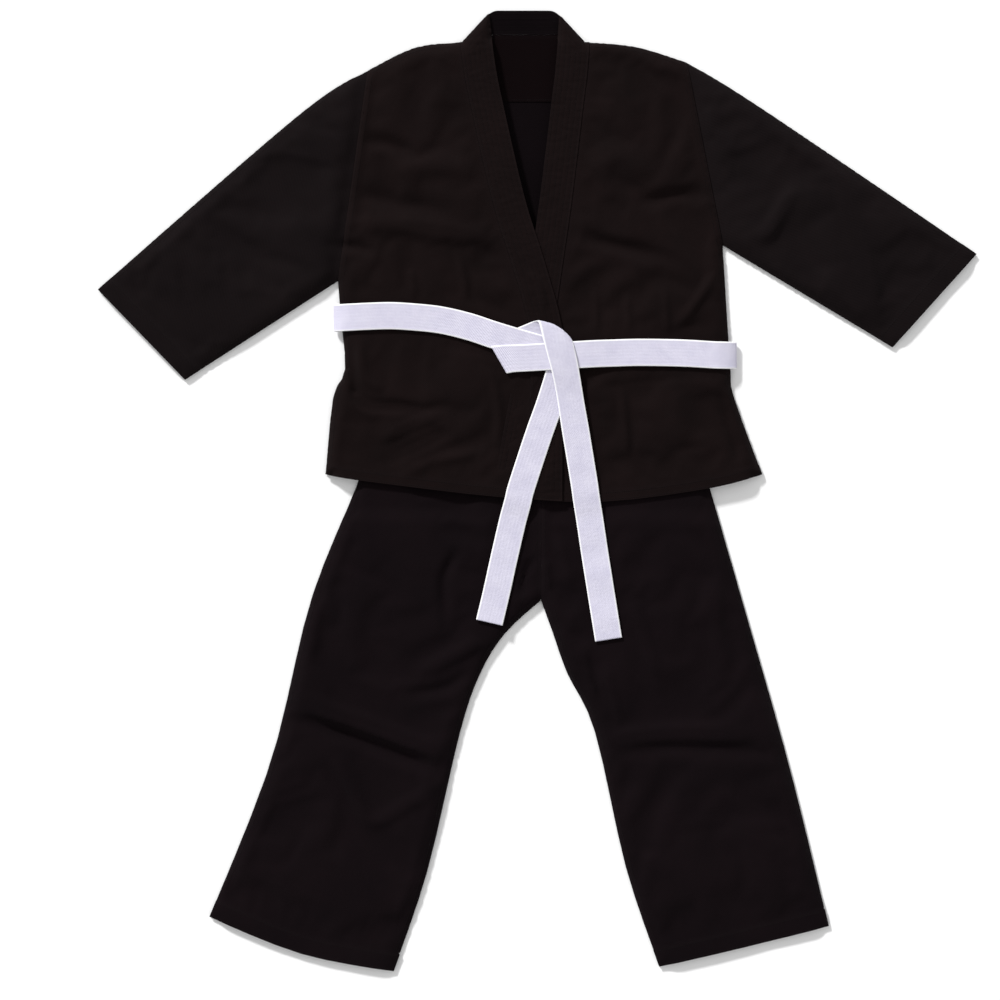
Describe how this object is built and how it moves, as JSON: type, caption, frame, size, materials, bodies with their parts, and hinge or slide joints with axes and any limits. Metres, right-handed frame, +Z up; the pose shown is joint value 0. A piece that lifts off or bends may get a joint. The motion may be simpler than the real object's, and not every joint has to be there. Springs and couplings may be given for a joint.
{
  "type": "martial arts uniform",
  "caption": "Cross-over cotton jacket with a long lapel, wide-legged elastic-waist trousers and a tied flat belt, laid out flat on a surface.",
  "frame": {"origin": "middle of the laid-out uniform's plan, on the surface that it lies on", "axes": "+Z up from the surface, +Y towards the collar, +X towards the wearer's left side"},
  "size_m": [1.298, 1.4192, 0.0261],
  "materials": {
    "jacket_cotton": "matt black cotton drill",
    "sleeve_cotton": "matt black cotton drill",
    "trouser_cotton": "matt black cotton drill",
    "lining_cotton": "matt black cotton lining",
    "belt_cotton": "white quilted cotton belt",
    "waist_elastic": "woven elastic"
  },
  "bodies": {
    "jacket": {"jacket_back": "jacket_cotton", "back_yoke_lining": "lining_cotton", "jacket_hem_back": "jacket_cotton", "collar_neck_band": "jacket_cotton", "shoulder_seam_right": "jacket_cotton", "shoulder_seam_left": "jacket_cotton", "side_seam_right": "jacket_cotton", "side_seam_left": "jacket_cotton", "front_right": "jacket_cotton", "front_left": "jacket_cotton", "jacket_hem_front_right": "jacket_cotton", "jacket_hem_front_left": "jacket_cotton", "lapel_right": "jacket_cotton", "lapel_left": "jacket_cotton", "belt_back_span": "belt_cotton", "belt_side_turn_right": "belt_cotton", "belt_side_turn_left": "belt_cotton", "belt_span_right": "belt_cotton", "belt_span_left": "belt_cotton", "belt_knot_underfold": "belt_cotton", "belt_knot_wrap": "belt_cotton", "belt_tail_root": "belt_cotton"},
    "sleeve_right": {"sleeve_right_back": "sleeve_cotton", "sleeve_right_front": "sleeve_cotton", "sleeve_right_cuff_back": "sleeve_cotton", "sleeve_right_cuff_front": "sleeve_cotton", "sleeve_right_top_fold": "sleeve_cotton", "sleeve_right_underarm_seam": "sleeve_cotton"},
    "sleeve_left": {"sleeve_left_back": "sleeve_cotton", "sleeve_left_front": "sleeve_cotton", "sleeve_left_cuff_back": "sleeve_cotton", "sleeve_left_cuff_front": "sleeve_cotton", "sleeve_left_top_fold": "sleeve_cotton", "sleeve_left_underarm_seam": "sleeve_cotton"},
    "trousers": {"trouser_front_right": "trouser_cotton", "trouser_front_left": "trouser_cotton", "trouser_back_right": "trouser_cotton", "trouser_back_left": "trouser_cotton", "trouser_outer_seam_right": "trouser_cotton", "trouser_outer_seam_left": "trouser_cotton", "crotch_gusset": "trouser_cotton", "waistband_back": "trouser_cotton", "waistband_front": "trouser_cotton", "waist_elastic": "waist_elastic"},
    "leg_right": {"leg_right_back": "trouser_cotton", "leg_right_front": "trouser_cotton", "leg_right_hem_back": "trouser_cotton", "leg_right_hem_front": "trouser_cotton", "leg_right_outer_seam": "trouser_cotton", "leg_right_inner_seam": "trouser_cotton"},
    "leg_left": {"leg_left_back": "trouser_cotton", "leg_left_front": "trouser_cotton", "leg_left_hem_back": "trouser_cotton", "leg_left_hem_front": "trouser_cotton", "leg_left_outer_seam": "trouser_cotton", "leg_left_inner_seam": "trouser_cotton"},
    "belt_tail_right": {"belt_tail_right": "belt_cotton"},
    "belt_tail_left": {"belt_tail_left": "belt_cotton"}
  },
  "joints": [
    {"name": "sleeve_right_fold", "type": "hinge", "parent": "jacket", "child": "sleeve_right", "pos_m": [-0.2943, 0.31059, 0.021], "axis": [0.1405, 0.9901, 0], "range_deg": [0, 180]},
    {"name": "sleeve_left_fold", "type": "hinge", "parent": "jacket", "child": "sleeve_left", "pos_m": [0.2737, 0.36359, 0.021], "axis": [0.1933, -0.9811, 0], "range_deg": [0, 175]},
    {"name": "trousers_slide", "type": "slide", "parent": "jacket", "child": "trousers", "axis": [0, -1, 0], "range_m": [0, 0.2]},
    {"name": "leg_right_fold", "type": "hinge", "parent": "trousers", "child": "leg_right", "pos_m": [-0.2533, -0.34741, 0.0172], "axis": [-0.9613, 0.2756, 0], "range_deg": [0, 180]},
    {"name": "leg_left_fold", "type": "hinge", "parent": "trousers", "child": "leg_left", "pos_m": [0.2247, -0.35241, 0.0172], "axis": [-0.9724, -0.2334, 0], "range_deg": [0, 180]},
    {"name": "belt_tail_right_lift", "type": "hinge", "parent": "jacket", "child": "belt_tail_right", "pos_m": [0.0037, 0.08759, 0.02], "axis": [-0.9673, 0.2538, 0], "range_deg": [0, 95]},
    {"name": "belt_tail_left_lift", "type": "hinge", "parent": "jacket", "child": "belt_tail_left", "pos_m": [0.0557, 0.08759, 0.0221], "axis": [-0.9874, -0.1582, 0], "range_deg": [0, 120]}
  ]
}
